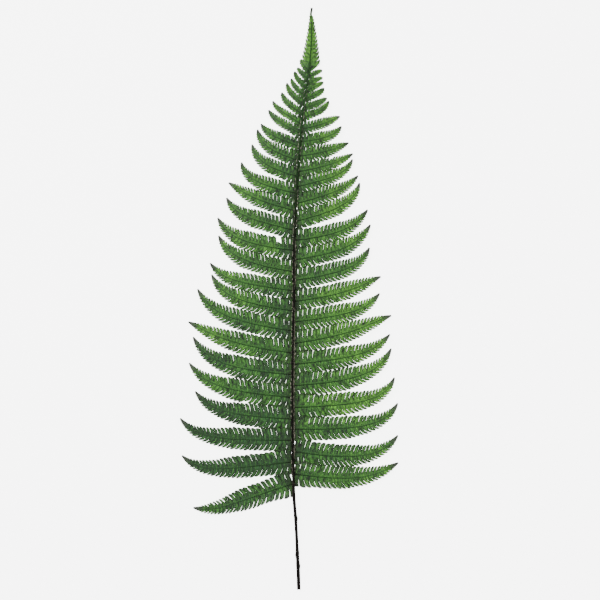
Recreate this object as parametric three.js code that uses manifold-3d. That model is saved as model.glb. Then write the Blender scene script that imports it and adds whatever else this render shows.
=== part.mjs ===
import * as THREE from "three";
import Module from "manifold-3d";
import { mergeVertices } from "three/addons/utils/BufferGeometryUtils.js";

// A dried fern frond that lies face up on a flat surface, as cut.
// Lengths are in millimetres and angles in degrees. While the frond is worked out, x runs across it, y from
// the cut end of the stem to the tip and z up from the surface. The last lines move it to its own origin.

const wasm = await Module();
wasm.setup();

// Middle of the whole frond in plan, which becomes its origin.
const MIDDLE = [-4.8, 291.5];

// The stem: y from the cut end, x, height of its underside above the surface, radius.
const STEM_LINE = [
  [0, 4.8, 0, 1.5],
  [15, 4.3, 0, 1.5],
  [40, 3.2, 1.2, 1.35],
  [70, 1.7, 3.4, 1.3],
  [95, -0.2, 5.2, 1.4],
  [120, -0.7, 6.8, 1.45],
  [150, -1, 8.3, 1.5],
  [200, -1.2, 10, 1.5],
  [280, -0.2, 11.5, 1.4],
  [350, 0.5, 11.4, 1.3],
  [410, 3, 10.2, 1.15],
  [450, 6, 8.7, 1],
  [490, 10.5, 6.9, 0.8],
  [520, 15, 5.4, 0.62],
  [535, 16.3, 4.7, 0.5],
  [550, 17.3, 4, 0.45],
  [583, 17.8, 2.6, 0.35],
];
const STEM_TOP = 533; // where the dark stem ends on the green tip
const STEM_SIDES = 8;
const STEM_STEP = 7;
const FLAT_SPOT = 15; // length of the flat spot under the cut end
const CUT_SLANT = 0.9; // how far the slanting cut end leans along the stem
// Old leaf-base scars on the bare stalk: y, added radius.
const SCARS = [
  [24, 0.22],
  [36, 0.28],
  [72, 0.22],
];
const SCAR_REACH = 3.5;

// The green rib under the stem that the leaflets grow from.
const RIB_GAP = 0.3; // clear of the stem
const RIB_THICK = 1.2;
const RIB_HALF_WIDTH = 2.1; // at the lowest leaflet
const RIB_TOP_HALF_WIDTH = 0.75; // in the tip
const RIB_RANGE = [101, 572];
const RIB_SIDES = 6;
const RIB_STEP = 20;

// Each leaflet: y of its foot on the stem, x and y of its tip, the angle its midrib leaves the stem at and
// the angle it ends at, both above straight across.
const LEFT = [
  [106, -101, 82, -17, 14],
  [128, -112.5, 134, -6, 46],
  [149.5, -114, 171.5, 1, 55],
  [171, -99, 198.5, 3, 56],
  [192.5, -105, 227, 5, 57],
  [215.5, -101, 253, 4, 65],
  [237, -106, 268, 7, 27],
  [259, -96.5, 301, 8, 65],
  [279, -82.5, 315.5, 8, 69],
  [299, -84, 327, 8, 56],
  [318, -75.5, 354.5, 9, 68],
  [339.5, -76.5, 372.5, 6, 65],
  [359.5, -67.5, 392.5, 13, 68],
  [379, -65.5, 407.5, 14, 34],
  [396.5, -52.5, 428, 12, 85],
  [413.5, -42, 446, 15, 81],
  [429.5, -36.5, 461, 17, 85],
  [443.5, -33, 466.5, 20, 63],
  [456, -25.5, 480.5, 29, 63],
  [465.5, -21.2, 489.5, 34, 73],
  [475.5, -12.2, 498, 34, 80],
  [485.5, -7, 507.5, 37, 86],
  [494, -2.7, 512, 38, 81],
  [502, 0.7, 519, 42, 81],
  [511, 3.5, 523, 45, 68],
  [519, 7, 531.5, 48, 75],
];
const RIGHT = [
  [116, 104.5, 127, -8, 33],
  [138.5, 104, 154.5, -9, 56],
  [161, 104, 186.5, -1, 63],
  [182.5, 100.5, 212.5, 2, 71],
  [204.5, 97.3, 241.5, 3, 68],
  [225.5, 96, 255.7, 6, 51],
  [246.5, 97.5, 274.5, 8, 20],
  [268, 85.8, 296.7, 7, 53],
  [288.5, 87, 313.5, 7, 24],
  [309.5, 75.5, 342.5, 8, 68],
  [330, 76.5, 365.5, 8, 61],
  [349.5, 73.8, 380.5, 6, 55],
  [368.5, 65.7, 407.5, 13, 78],
  [386, 64, 414.5, 15, 50],
  [403, 58.5, 431, 13, 71],
  [418, 59, 436.5, 10, 32],
  [433.5, 54.8, 447.5, 8, 25],
  [448, 47.5, 464, 6, 55],
  [460.5, 46, 474, 12, 24],
  [472, 34.8, 489.5, 18, 68],
  [482, 33, 492.5, 14, 30],
  [491, 30, 502.5, 20, 58],
  [499, 29.5, 508.5, 25, 32],
  [505.5, 28.8, 513, 30, 22],
  [512.5, 28.3, 520.5, 33, 28],
];
const FOOT_HANDLE = 0.62; // lengths of the midrib curve's handles, as shares of the leaflet's length
const TIP_HANDLE = 0.24;

// Leaflets: thickness, half width, lobes.
const THICK = 0.66;
const WIDTH_SHARE = 0.5; // half width of a leaflet, as a share of the distance to the next on its side
const WIDEST = 11;
const TAPER = 3.1; // the higher, the longer a leaflet keeps its width
const STALK = 2.7; // from the middle of the stem to the first lobe
const ROOT_HALF_WIDTH = 0.9;
const TAIL_START = 0.945; // share of the length where the lobes give way to the thread-like tip
const TAIL_HALF_WIDTH = 0.4;
const LOBE_PITCH = 9.4; // on the longest leaflets
const LONGEST = 117;
const TEETH_BELOW = 3.3; // lobes shorter than this are single teeth
const ENTIRE_BELOW = 30; // leaflets shorter than this are only toothed
const LEAN = [78, 38]; // angle of the lobes to the midrib, at the foot and at the tip of a leaflet

// How the leaflets lie.
const ARCH = 1.3; // how far a leaflet rises above the straight way down to its tip
const SHINGLE = 5.5; // sideways tilt that lets one leaflet's edge pass over the next one's
const ROOF = 0.09; // fall of the lobes away from the core, per millimetre
const LOWEST_TWIST = 13; // the lowest left leaflet is turned further
const REST_LEFT = [1, 6, 11]; // leaflets whose tips rest on the surface, counted from 0 at the bottom
const REST_RIGHT = [2, 7, 12];
const SEED = 4474;

// The tip of the frond: one lobed blade round the end of the rib.
const TIP_START = 514;
const TIP_HALF_WIDTH = 8.8;
const TIP_LOBES = 9;
const TIP_LEAN = 48;

const radians = THREE.MathUtils.degToRad;
const lerp = THREE.MathUtils.lerp;

let seed = SEED;

/** A number from -1 to 1, the same in every run. */
function chance() {
  seed = (seed * 1664525 + 1013904223) % 4294967296;
  return (seed / 4294967296) * 2 - 1;
}

const stemCurve = new THREE.CubicInterpolant(
  STEM_LINE.map((row) => row[0]),
  STEM_LINE.flatMap((row) => row.slice(1)),
  3,
);

/** The stem at a distance from the cut end: x, height of the underside and radius. */
function stemAt(y) {
  const [x, under, radius] = stemCurve.evaluate(y);
  const scar = SCARS.reduce((sum, [at, added]) => sum + added * Math.exp(-(((y - at) / SCAR_REACH) ** 2)), 0);
  return { x, under, radius: radius + scar };
}

/** A closed tube of flat-bottomed sections, from a cylinder: place(y) gives each section. */
function sectionTube(from, to, step, sides, place) {
  const rings = Math.round((to - from) / step);
  const tube = new THREE.CylinderGeometry(1, 1, 1, sides, rings, false, Math.PI / sides);
  tube.deleteAttribute("normal");
  tube.deleteAttribute("uv");
  tube.rotateX(Math.PI / 2);
  const merged = mergeVertices(tube, 1e-4);
  const position = merged.getAttribute("position");
  for (let i = 0; i < position.count; i++) {
    const y = lerp(from, to, position.getZ(i) + 0.5);
    const across = -position.getX(i);
    const up = position.getY(i);
    position.setXYZ(i, ...place(y, across, up));
  }
  return merged;
}

/** The dark stem: the bare stalk and the part that the leaflets stand on. */
function stemGeometry() {
  const flat = Math.cos(Math.PI / STEM_SIDES);
  return sectionTube(0, STEM_TOP, STEM_STEP, STEM_SIDES, (y, across, up) => {
    const { x, under, radius } = stemAt(y);
    const resting = y <= FLAT_SPOT + 0.01;
    const height = resting ? 0 : under;
    const round = resting ? STEM_LINE[0][3] : radius;
    const cut = y < 0.01 ? CUT_SLANT * (up + 1) : 0;
    return [x + across * round, y + cut, height + (up + flat) * round];
  });
}

/** Middle height of the rib that the leaflets grow from. */
function ribHeight(y) {
  return stemAt(y).under - RIB_GAP - RIB_THICK / 2;
}

/** The rib under the stem, which becomes the midrib of the tip. */
function ribGeometry() {
  const [from, to] = RIB_RANGE;
  const flat = Math.cos(Math.PI / RIB_SIDES);
  return sectionTube(from, to, RIB_STEP, RIB_SIDES, (y, across, up) => {
    const half = lerp(RIB_HALF_WIDTH, RIB_TOP_HALF_WIDTH, (y - from) / (to - from));
    return [stemAt(y).x + across * half, y, ribHeight(y) + (up / flat) * (RIB_THICK / 2)];
  });
}

/** Half width of a leaflet at a share of its length, from its greatest half width. */
function halfWidth(share, widest) {
  const foot = 1 - 0.16 * Math.exp(-share * 14);
  return Math.max(widest * foot * (1 - share ** TAPER), TAIL_HALF_WIDTH);
}

/** Distance of the notches between the lobes from the midrib. */
function notch(share, widest, entire) {
  const deep = entire ? 0.74 : 0.38 + 0.3 * share * share;
  return Math.max(halfWidth(share, widest) * deep, TAIL_HALF_WIDTH);
}

/** Angle of the lobes to the midrib. On the upper side they start no steeper than along the stem. */
function lobeAngle(share, upper, leaving) {
  const free = lerp(LEAN[0], LEAN[1], share ** 1.3);
  return upper ? Math.min(free, 88 - leaving + 45 * share) : free;
}

/** One row of lobes: notch points and the outer points between them, as [along, across]. */
function lobeRow(length, widest, side, leaving, count, entire) {
  const root = STALK / Math.cos(radians(leaving));
  const start = Math.max(root + side * notch(0, widest, entire) * Math.tan(radians(leaving)), 1.6);
  const end = TAIL_START * length;
  const at = (i) => lerp(start, end, (i / count) * (1.2 - (0.2 * i) / count));
  const notches = [];
  const outers = [];
  for (let i = 0; i <= count; i++) {
    const along = at(i);
    notches.push([along, side * notch(along / length, widest, entire)]);
  }
  for (let i = 0; i < count; i++) {
    const [from, low] = notches[i];
    const pitch = notches[i + 1][0] - from;
    const share = (from + pitch / 2) / length;
    const reach = halfWidth(share, widest) * (1 + 0.03 * chance());
    const rise = reach - Math.abs(low);
    const lean = rise / Math.tan(radians(lobeAngle(share, side > 0, leaving)));
    const point = [Math.min(from + 0.74 * pitch + lean, 0.985 * length), side * reach];
    const shoulder = [from + 0.12 * pitch + 0.8 * lean, side * (Math.abs(low) + 0.8 * rise)];
    outers.push(rise < TEETH_BELOW ? [point] : [shoulder, point]);
  }
  return { notches, outers };
}

/** A closed thin blade from two rows of lobes, bent into place by toSpace(along, across). */
function bladeGeometry(upper, lower, root, tail, toSpace, mirrored) {
  const corners = [];
  const faces = [];
  const corner = (point) => corners.push(point) - 1;
  const rowOf = (row) => ({
    notches: row.notches.map(corner),
    outers: row.outers.map((points) => points.map(corner)),
  });
  const high = rowOf(upper);
  const low = rowOf(lower);
  const rootHigh = corner([root[0], root[1]]);
  const rootLow = corner([root[0], -root[1]]);
  const tailHigh = corner([tail[0], tail[1]]);
  const tailLow = corner([tail[0], -tail[1]]);

  const core = [
    [rootLow, rootHigh],
    ...high.notches.map((index, i) => [low.notches[i], index]),
    [tailLow, tailHigh],
  ];
  for (let i = 1; i < core.length; i++) {
    const [a, b] = core[i - 1];
    const [c, d] = core[i];
    faces.push([a, c, d], [a, d, b]);
  }
  high.outers.forEach((points, i) => {
    const [from, to] = [high.notches[i], high.notches[i + 1]];
    faces.push([from, to, points[0]]);
    if (points.length > 1) faces.push([points[0], to, points[1]]);
  });
  low.outers.forEach((points, i) => {
    const [from, to] = [low.notches[i], low.notches[i + 1]];
    faces.push([from, points[0], to]);
    if (points.length > 1) faces.push([points[0], points[1], to]);
  });
  const border = (row) => row.notches.flatMap((index, i) => [index, ...(row.outers[i] ?? [])]);
  const rim = [rootLow, ...border(low), tailLow, tailHigh, ...border(high).reverse(), rootHigh];

  const position = corners.flatMap(([along, across]) => {
    const [x, y, z] = toSpace(along, across);
    return [x, y, z + THICK / 2, x, y, z - THICK / 2];
  });
  const index = faces.flatMap(([a, b, c]) => [2 * a, 2 * b, 2 * c, 2 * a + 1, 2 * c + 1, 2 * b + 1]);
  rim.forEach((a, i) => {
    const b = rim[(i + 1) % rim.length];
    index.push(2 * a, 2 * a + 1, 2 * b + 1, 2 * a, 2 * b + 1, 2 * b);
  });
  if (mirrored) index.reverse();
  const geometry = new THREE.BufferGeometry();
  geometry.setAttribute("position", new THREE.Float32BufferAttribute(position, 3));
  geometry.setIndex(index);
  return geometry;
}

/** One leaflet of the frond. side is 1 on the right and -1 on the left. */
function leafletGeometry([foot, tipX, tipY, leaving, ending], side, spacing, rests, twist) {
  const { x: footX } = stemAt(foot);
  const reach = Math.hypot(tipX - footX, tipY - foot);
  const handle = (angle, share) => [
    side * share * reach * Math.cos(radians(angle)),
    share * reach * Math.sin(radians(angle)),
  ];
  const [outX, outY] = handle(leaving, FOOT_HANDLE);
  const [inX, inY] = handle(ending, TIP_HANDLE);
  const midrib = new THREE.CubicBezierCurve(
    new THREE.Vector2(footX, foot),
    new THREE.Vector2(footX + outX, foot + outY),
    new THREE.Vector2(tipX - inX, tipY - inY),
    new THREE.Vector2(tipX, tipY),
  );
  const length = midrib.getLength();
  const widest = Math.min(spacing * WIDTH_SHARE, WIDEST);
  const entire = length < ENTIRE_BELOW;
  const pitch = LOBE_PITCH * (0.4 + 0.6 * (length / LONGEST));
  const count = Math.max(Math.round((length - STALK) / pitch), 3);
  const rootHeight = ribHeight(foot);
  const tipHeight = THICK / 2 + (rests ? 0 : 0.5 + Math.min(rootHeight * 0.25, 2) * (1 + chance()));
  const arch = ARCH * (1 + 0.3 * chance()) * Math.min(length / 80, 1);
  const tilt = Math.tan(radians(SHINGLE + twist + chance()));

  const toSpace = (along, across) => {
    const share = THREE.MathUtils.clamp(along / length, 0, 1);
    const middle = midrib.getPointAt(share);
    const ahead = midrib.getTangentAt(share);
    const settled = Math.min(along / 12, 1) * (1 - share ** 3);
    const fall = Math.max(Math.abs(across) - 3, 0) * ROOF;
    const height = lerp(rootHeight, tipHeight, share * share) + arch * Math.sin(Math.PI * share);
    return [
      middle.x - side * ahead.y * across,
      middle.y + side * ahead.x * across,
      height + (tilt * across - fall) * settled,
    ];
  };
  const row = (edge) => lobeRow(length, widest, edge, leaving, count, entire);
  const root = [0, ROOT_HALF_WIDTH];
  const tail = [length, TAIL_HALF_WIDTH];
  return bladeGeometry(row(1), row(-1), root, tail, toSpace, side < 0);
}

/** The lobed end of the frond, round the top of the rib. */
function tipGeometry() {
  const length = STEM_LINE.at(-1)[0] - TIP_START;
  const row = (side) => {
    const notches = [];
    const outers = [];
    for (let i = 0; i <= TIP_LOBES; i++) {
      const share = (i / TIP_LOBES) * 0.9;
      notches.push([share * length, side * Math.max(TIP_HALF_WIDTH * 0.6 * (1 - share ** 1.4), 0.5)]);
    }
    for (let i = 0; i < TIP_LOBES; i++) {
      const [from, low] = notches[i];
      const pitch = notches[i + 1][0] - from;
      const reach = TIP_HALF_WIDTH * (1 - 0.92 * ((i + 0.5) / TIP_LOBES) ** 1.2);
      const lean = (reach - Math.abs(low)) / Math.tan(radians(TIP_LEAN));
      outers.push([[from + 0.7 * pitch + lean, side * reach]]);
    }
    return { notches, outers };
  };
  const toSpace = (along, across) => {
    const y = TIP_START + along;
    return [stemAt(y).x - across, y, ribHeight(y) - ROOF * Math.abs(across)];
  };
  return bladeGeometry(row(1), row(-1), [-3, 1], [length, 0.35], toSpace, false);
}

/** The closed geometry as a solid that can be joined. */
function toSolid(geometry) {
  const position = geometry.getAttribute("position");
  return new wasm.Manifold(
    new wasm.Mesh({
      numProp: 3,
      vertProperties: new Float32Array(position.array),
      triVerts: new Uint32Array(geometry.getIndex().array),
    }),
  );
}

/** The solid back as a geometry. */
function fromSolid(solid) {
  const mesh = solid.getMesh();
  const geometry = new THREE.BufferGeometry();
  geometry.setAttribute("position", new THREE.BufferAttribute(mesh.vertProperties, 3));
  geometry.setIndex(new THREE.BufferAttribute(mesh.triVerts, 1));
  return geometry;
}

/** All the leaflets of one side. */
function leaflets(rows, side, resting) {
  return rows.map((row, i) => {
    const next = rows[i + 1] ?? [row[0] + (row[0] - rows[i - 1][0])];
    const before = rows[i - 1] ?? [row[0] - (next[0] - row[0])];
    const spacing = (next[0] - before[0]) / 2;
    const twist = side < 0 && i === 0 ? LOWEST_TWIST : 0;
    return leafletGeometry(row, side, spacing, resting.includes(i), twist);
  });
}

/** The green blade: every leaflet and the tip, grown together along the rib. */
function blade() {
  const pieces = [
    ribGeometry(),
    tipGeometry(),
    ...leaflets(LEFT, -1, REST_LEFT),
    ...leaflets(RIGHT, 1, REST_RIGHT),
  ].map(toSolid);
  return fromSolid(pieces.reduce((whole, piece) => whole.add(piece)));
}

/** A named mesh in the frond's own frame. */
function part(name, geometry, color, roughness) {
  geometry.translate(-MIDDLE[0], -MIDDLE[1], 0);
  geometry.computeVertexNormals();
  const material = new THREE.MeshStandardMaterial({ color, roughness, metalness: 0 });
  const mesh = new THREE.Mesh(geometry, material);
  mesh.name = name;
  return mesh;
}

const frond = new THREE.Group();
frond.add(part("stem", stemGeometry(), 0x2e2a21, 0.7));
frond.add(part("blade", blade(), 0x4b7c37, 0.75));

export default frond;
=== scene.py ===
import math
from bisect import bisect
from functools import partialmethod

import bmesh
import bpy
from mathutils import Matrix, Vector


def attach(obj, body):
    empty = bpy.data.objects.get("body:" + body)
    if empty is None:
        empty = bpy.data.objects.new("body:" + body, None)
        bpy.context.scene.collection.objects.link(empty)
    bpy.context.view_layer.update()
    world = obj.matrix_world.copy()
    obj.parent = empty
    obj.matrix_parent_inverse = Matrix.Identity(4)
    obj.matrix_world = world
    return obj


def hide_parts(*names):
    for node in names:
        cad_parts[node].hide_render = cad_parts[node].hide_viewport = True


bl_info = {
    "name": "Dried fern frond",
    "version": (1, 0, 0),
    "blender": (4, 5, 0),
    "location": "View3D > Sidebar > Frond",
    "description": "Dresses a fern frond's plain solids with a fine stem, lobed leaflets and a tip",
    "category": "Object",
}

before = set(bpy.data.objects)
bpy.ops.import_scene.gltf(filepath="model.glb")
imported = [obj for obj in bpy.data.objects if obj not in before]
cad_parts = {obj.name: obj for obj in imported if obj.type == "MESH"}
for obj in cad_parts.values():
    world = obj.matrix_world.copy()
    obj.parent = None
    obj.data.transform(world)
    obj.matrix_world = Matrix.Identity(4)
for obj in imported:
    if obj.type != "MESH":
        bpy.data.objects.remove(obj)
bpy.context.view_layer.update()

# The frond's own places, in millimetres as the solids have them: x across the frond, y from the cut end of
# the stem, z up from the surface. MIDDLE moves them to the frond's origin and MM to metres.
MM = 0.001
MIDDLE = (-4.8, 291.5)

# y from the cut end, x, height of the stem's underside, radius of the stem
STEM_LINE = [
    (0, 4.8, 0, 1.5),
    (15, 4.3, 0, 1.5),
    (40, 3.2, 1.2, 1.35),
    (70, 1.7, 3.4, 1.3),
    (95, -0.2, 5.2, 1.4),
    (120, -0.7, 6.8, 1.45),
    (150, -1, 8.3, 1.5),
    (200, -1.2, 10, 1.5),
    (280, -0.2, 11.5, 1.4),
    (350, 0.5, 11.4, 1.3),
    (410, 3, 10.2, 1.15),
    (450, 6, 8.7, 1),
    (490, 10.5, 6.9, 0.8),
    (520, 15, 5.4, 0.62),
    (535, 16.3, 4.7, 0.5),
    (550, 17.3, 4, 0.45),
    (583, 17.8, 2.6, 0.35),
]
RIB_GAP = 0.3
RIB_THICK = 1.2
SCARS = [(24, 0.22), (36, 0.28), (72, 0.22)]  # y, added radius
SCAR_REACH = 3.5
KNOBS = [(23.5, 1), (34, -1), (71, 1)]  # y and side of the small knobs on the bare stalk
KNOB_REACH = 1.6
FROND_LENGTH = STEM_LINE[-1][0]
BARE_END = (96, 112)  # y between which the bare stalk turns into the leafy part of the stem

# The scene's own stem: y where its rings start and end and their distance, and how many sides they have
STEM_FOOT = -0.4
STEM_TOP = FROND_LENGTH - 14
STEM_STEP = 1.6
STEM_SIDES = 16
STEM_SEED = 91

# Each leaflet: y of its foot, x and y of its tip, and the angles in degrees at which its midrib leaves the
# stem and ends
LEFT = [
    (106, -101, 82, -17, 14),
    (128, -112.5, 134, -6, 46),
    (149.5, -114, 171.5, 1, 55),
    (171, -99, 198.5, 3, 56),
    (192.5, -105, 227, 5, 57),
    (215.5, -101, 253, 4, 65),
    (237, -106, 268, 7, 27),
    (259, -96.5, 301, 8, 65),
    (279, -82.5, 315.5, 8, 69),
    (299, -84, 327, 8, 56),
    (318, -75.5, 354.5, 9, 68),
    (339.5, -76.5, 372.5, 6, 65),
    (359.5, -67.5, 392.5, 13, 68),
    (379, -65.5, 407.5, 14, 34),
    (396.5, -52.5, 428, 12, 85),
    (413.5, -42, 446, 15, 81),
    (429.5, -36.5, 461, 17, 85),
    (443.5, -33, 466.5, 20, 63),
    (456, -25.5, 480.5, 29, 63),
    (465.5, -21.2, 489.5, 34, 73),
    (475.5, -12.2, 498, 34, 80),
    (485.5, -7, 507.5, 37, 86),
    (494, -2.7, 512, 38, 81),
    (502, 0.7, 519, 42, 81),
    (511, 3.5, 523, 45, 68),
    (519, 7, 531.5, 48, 75),
]
RIGHT = [
    (116, 104.5, 127, -8, 33),
    (138.5, 104, 154.5, -9, 56),
    (161, 104, 186.5, -1, 63),
    (182.5, 100.5, 212.5, 2, 71),
    (204.5, 97.3, 241.5, 3, 68),
    (225.5, 96, 255.7, 6, 51),
    (246.5, 97.5, 274.5, 8, 20),
    (268, 85.8, 296.7, 7, 53),
    (288.5, 87, 313.5, 7, 24),
    (309.5, 75.5, 342.5, 8, 68),
    (330, 76.5, 365.5, 8, 61),
    (349.5, 73.8, 380.5, 6, 55),
    (368.5, 65.7, 407.5, 13, 78),
    (386, 64, 414.5, 15, 50),
    (403, 58.5, 431, 13, 71),
    (418, 59, 436.5, 10, 32),
    (433.5, 54.8, 447.5, 8, 25),
    (448, 47.5, 464, 6, 55),
    (460.5, 46, 474, 12, 24),
    (472, 34.8, 489.5, 18, 68),
    (482, 33, 492.5, 14, 30),
    (491, 30, 502.5, 20, 58),
    (499, 29.5, 508.5, 25, 32),
    (505.5, 28.8, 513, 30, 22),
    (512.5, 28.3, 520.5, 33, 28),
]
FOOT_HANDLE = 0.62  # lengths of the midrib curve's handles, as shares of the leaflet's length
TIP_HANDLE = 0.24
REST = {-1: (1, 6, 11), 1: (2, 7, 12)}  # leaflets whose tips touch the surface, by side
SOLID_SEED = 4474

# The solids' leaflets: thickness, half width and lobes
SOLID_THICK = 0.66
WIDTH_SHARE = 0.5  # half width, as a share of the distance to the next on the same side
WIDEST = 11
STALK = 2.7  # from the middle of the stem to the first lobe
SOLID_LOBE_PITCH = 9.4  # on the longest leaflets
LONGEST = 117
LEAST_LOBES = 3
ENTIRE_BELOW = 30  # leaflets shorter than this are only toothed

# How the leaflets lie
ARCH = 1.3  # how far a leaflet rises above the straight way down to its tip
FULL_ARCH_LENGTH = 80  # leaflets shorter than this rise less
SHINGLE = 5.5  # sideways tilt in degrees, which lets one leaflet's edge pass over the next one's
TILT_REACH = 12  # way along the midrib over which the tilt sets in
ROOF = 0.09  # fall of the lobes away from the flat middle, per millimetre
FLAT_MIDDLE = 3  # half width of the flat middle
LOWEST_TWIST = 13  # the lowest left leaflet is turned further

# The lobes as grown: angles to the midrib in degrees, at a leaflet's foot and at its tip, by edge. Edge 1 is
# the one towards the frond's tip and -1 the other.
LOBE_ANGLES = {1: (82, 46), -1: (62, 42)}
FIRST_LOBE_TURN = {1: 6, -1: 34}  # how much further the first lobes turn back along the stem
FIRST_TURN_REACH = 7  # way along the midrib over which that fades
LEAST_ANGLE = 25

# Half width against the solid's, by edge: where neighbours touch, what it tapers from, and the taper's power
FINE_WIDTHS = {1: (1.13, 1.4, 2.2), -1: (1.0, 1.17, 2.15)}
SHORT_TAPER = 3.2  # the taper's power for short leaflets, which are blunt
SHORT_WIDTH = 0.88  # what a short leaflet tapers from, against a long one
NARROW = {1: 0.96, -1: 0.84}  # where the upper leaflets touch, against the lower ones
NARROWING = (215, 290)  # y of the feet between which the lower leaflets give way to the upper ones
FOOT_SWELL = 0.16  # how much wider a leaflet may be at its foot
FOOT_SWELL_SHARE = 0.14  # share of its length over which that fades
WINGS = (0.5, 0.9)  # half width added at the foot of an upper leaflet, and of a fully joined one
WING_REACH = 4.5
EDGE_WIDTHS = (0.25, 0.75)  # half width added to a leaflet's body, and to its tail, which is thin without it
ROOT_WIDTH = 0.7  # half width where the first lobe starts, if the foot is free
ROOT_GAP = 0.3  # from the middle of the stem to the first lobe
FINE_TAIL_START = 0.91
GROWN_TOGETHER = (24, 62)  # length of a leaflet whose foot is fully joined, and of one whose foot is free

SLIM = (52, 105)  # length of a leaflet with short ones' teeth, and of one with long ones' lobes
SLIM_TOOTHED = 0.7  # what toothed and flare are for the short ones
SLIM_FLARE = 3.0
LEFT_HIDING = 0.9  # how much tighter the slits get along the long leaflets on the left

# A lobe's end: where it reaches furthest, as a share of its width, and how far it falls back from there on
# its far and its near side, in millimetres, with the power of that fall
LOBE_PEAK = 0.58
FAR_FALL = (0.6, 1.6)
NEAR_FALL = (1.5, 1.7)
MOST_FALL = 0.65  # share of the lobe's height

# The slits: share of a lobe's height over which they open, lobes that are closer have narrower ones, and how
# much wider they are on the outer part of a long leaflet
SLIT_OPENING = 0.2
FULL_SLIT_PITCH = 4.3
OUTER_SLITS = 2.1
OUTER_PART = (0.35, 0.85)

# The tip of the frond. By edge: way to the first lobe and how fast the tip widens from there, and half width
# at the foot and what is added all along
FINE_TIP_START = 509
TIP_LOBES = 16
TIP_TONE = 1.3
TIP_SHOULDERS = {1: (8, 1.8), -1: (12.5, 1)}
TIP_WIDTHS = {1: (13, 0.1), -1: (10, 0.9)}
TIP_NOTCHES = (0.75, 0.5)  # half width at the notches, against the whole, at the foot and at the end
TIP_ANGLES = (50, 36)
SPIKE = (0.86, 0.92)  # shares of the length between which the tip turns into a thin spike
SPIKE_WIDTH = 1.15
SPIKE_BEND = (577, 3, 0.8)  # y where the spike bends aside, over what length, and how far

# Columns of faces to a lobe, rows from the midrib to a notch and from there to a lobe's end
LOBE_COLUMNS = 6
CORE_ROWS = 2
LOBE_ROWS = 5
STALK_COLUMNS = 2
TAIL_COLUMNS = 8
FRINGE = CORE_ROWS + LOBE_ROWS

# The midribs' rings: distance in millimetres, sides, and from which share of the length to which
MIDRIB_STEP = 2.5
MIDRIB_SIDES = 6
MIDRIB_RANGE = (0.004, 0.93)

# Dry scales along the stem: how many, from which y to which, and their thickness in metres
SCALES = 170
SCALE_RANGE = (112, 500)
SCALE_THICKNESS = 0.00012
SCALE_SEED = 33

VEIN_SPACING = 1.1  # between the side veins of a lobe, in millimetres
TONE_SEED = 7  # to which a side's own number, -1 or 1, is added
LOWER_LEAFLETS = 10  # leaflets of a side that are in its lower piece

# Leaflets that are darker or lighter than the others, by side and number
TONES = {
    (-1, 0): -0.3,
    (-1, 1): -1.4,
    (-1, 2): -1.35,
    (-1, 3): -1.3,
    (-1, 5): -0.2,
    (-1, 9): -0.2,
    (1, 1): -0.3,
    (1, 7): -0.25,
    (1, 12): 0.35,
    (1, 14): -0.25,
    (1, 16): -0.25,
}

# Leaflets whose width differs from what their distance tells, by side and number
ODD_WIDTHS = {(1, 19): 0.85, (1, 20): 0.86, (-1, 25): 1.35}

# Leaflets with a torn stretch: side and number, edge, first and last torn lobe, how much of each is left
TORN = {(-1, 11): (1, 3, 3, 0.3), (1, 15): (1, 9, 9, 0.6), (-1, 4): (-1, 8, 8, 0.7)}


def lerp(a, b, t):
    return a + (b - a) * t


def clamp(value, low=0.0, high=1.0):
    return max(low, min(high, value))


def smooth(low, high, value):
    """0 below low, 1 above high and a smooth rise between."""
    t = clamp((value - low) / (high - low))
    return t * t * (3 - 2 * t)


def fade(way, reach):
    """1 where way is 0, and a soft fall towards 0 on both sides."""
    return math.exp(-((way / reach) ** 2))


class Chance:
    """Seeded numbers from -1 to 1."""

    def __init__(self, seed):
        self.state = seed

    def __call__(self):
        self.state = (self.state * 1664525 + 1013904223) % 4294967296
        return self.state / 4294967296 * 2 - 1


class SmoothRows:
    """A smooth curve through rows of (key, values), with each inner slope the mean of its neighbours'."""

    def __init__(self, rows):
        self.keys = [row[0] for row in rows]
        self.values = [row[1:] for row in rows]
        steps = list(zip(self.keys, self.keys[1:], self.values, self.values[1:]))
        rises = [[(q - p) / (b - a) for p, q in zip(u, v)] for a, b, u, v in steps]
        inner = [[(p + q) / 2 for p, q in zip(u, v)] for u, v in zip(rises, rises[1:])]
        self.slopes = [rises[0], *inner, rises[-1]]

    def at(self, key):
        key = clamp(key, self.keys[0], self.keys[-1])
        i = max(j for j in range(len(self.keys) - 1) if self.keys[j] <= key)
        width = self.keys[i + 1] - self.keys[i]
        t = (key - self.keys[i]) / width
        first, second = t * (1 - t) ** 2 * width, t * t * (t - 1) * width
        near, far = (1 + 2 * t) * (1 - t) ** 2, t * t * (3 - 2 * t)
        ends = zip(self.values[i], self.slopes[i], self.values[i + 1], self.slopes[i + 1])
        return [near * a + first * m + far * b + second * n for a, m, b, n in ends]


stem_curve = SmoothRows(STEM_LINE)


def stem_at(y):
    """x, height of the underside and radius of the stem at y."""
    x, under, radius = stem_curve.at(y)
    return x, under, radius + sum(add * fade(y - at, SCAR_REACH) for at, add in SCARS)


def rib_height(y):
    """Height of the middle of the rib that the leaflets grow from."""
    return stem_at(y)[1] - RIB_GAP - RIB_THICK / 2


def in_frame(x, y, z):
    """A place of the frond, in millimetres, in the frame's metres."""
    return Vector((x - MIDDLE[0], y - MIDDLE[1], z)) * MM


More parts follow.
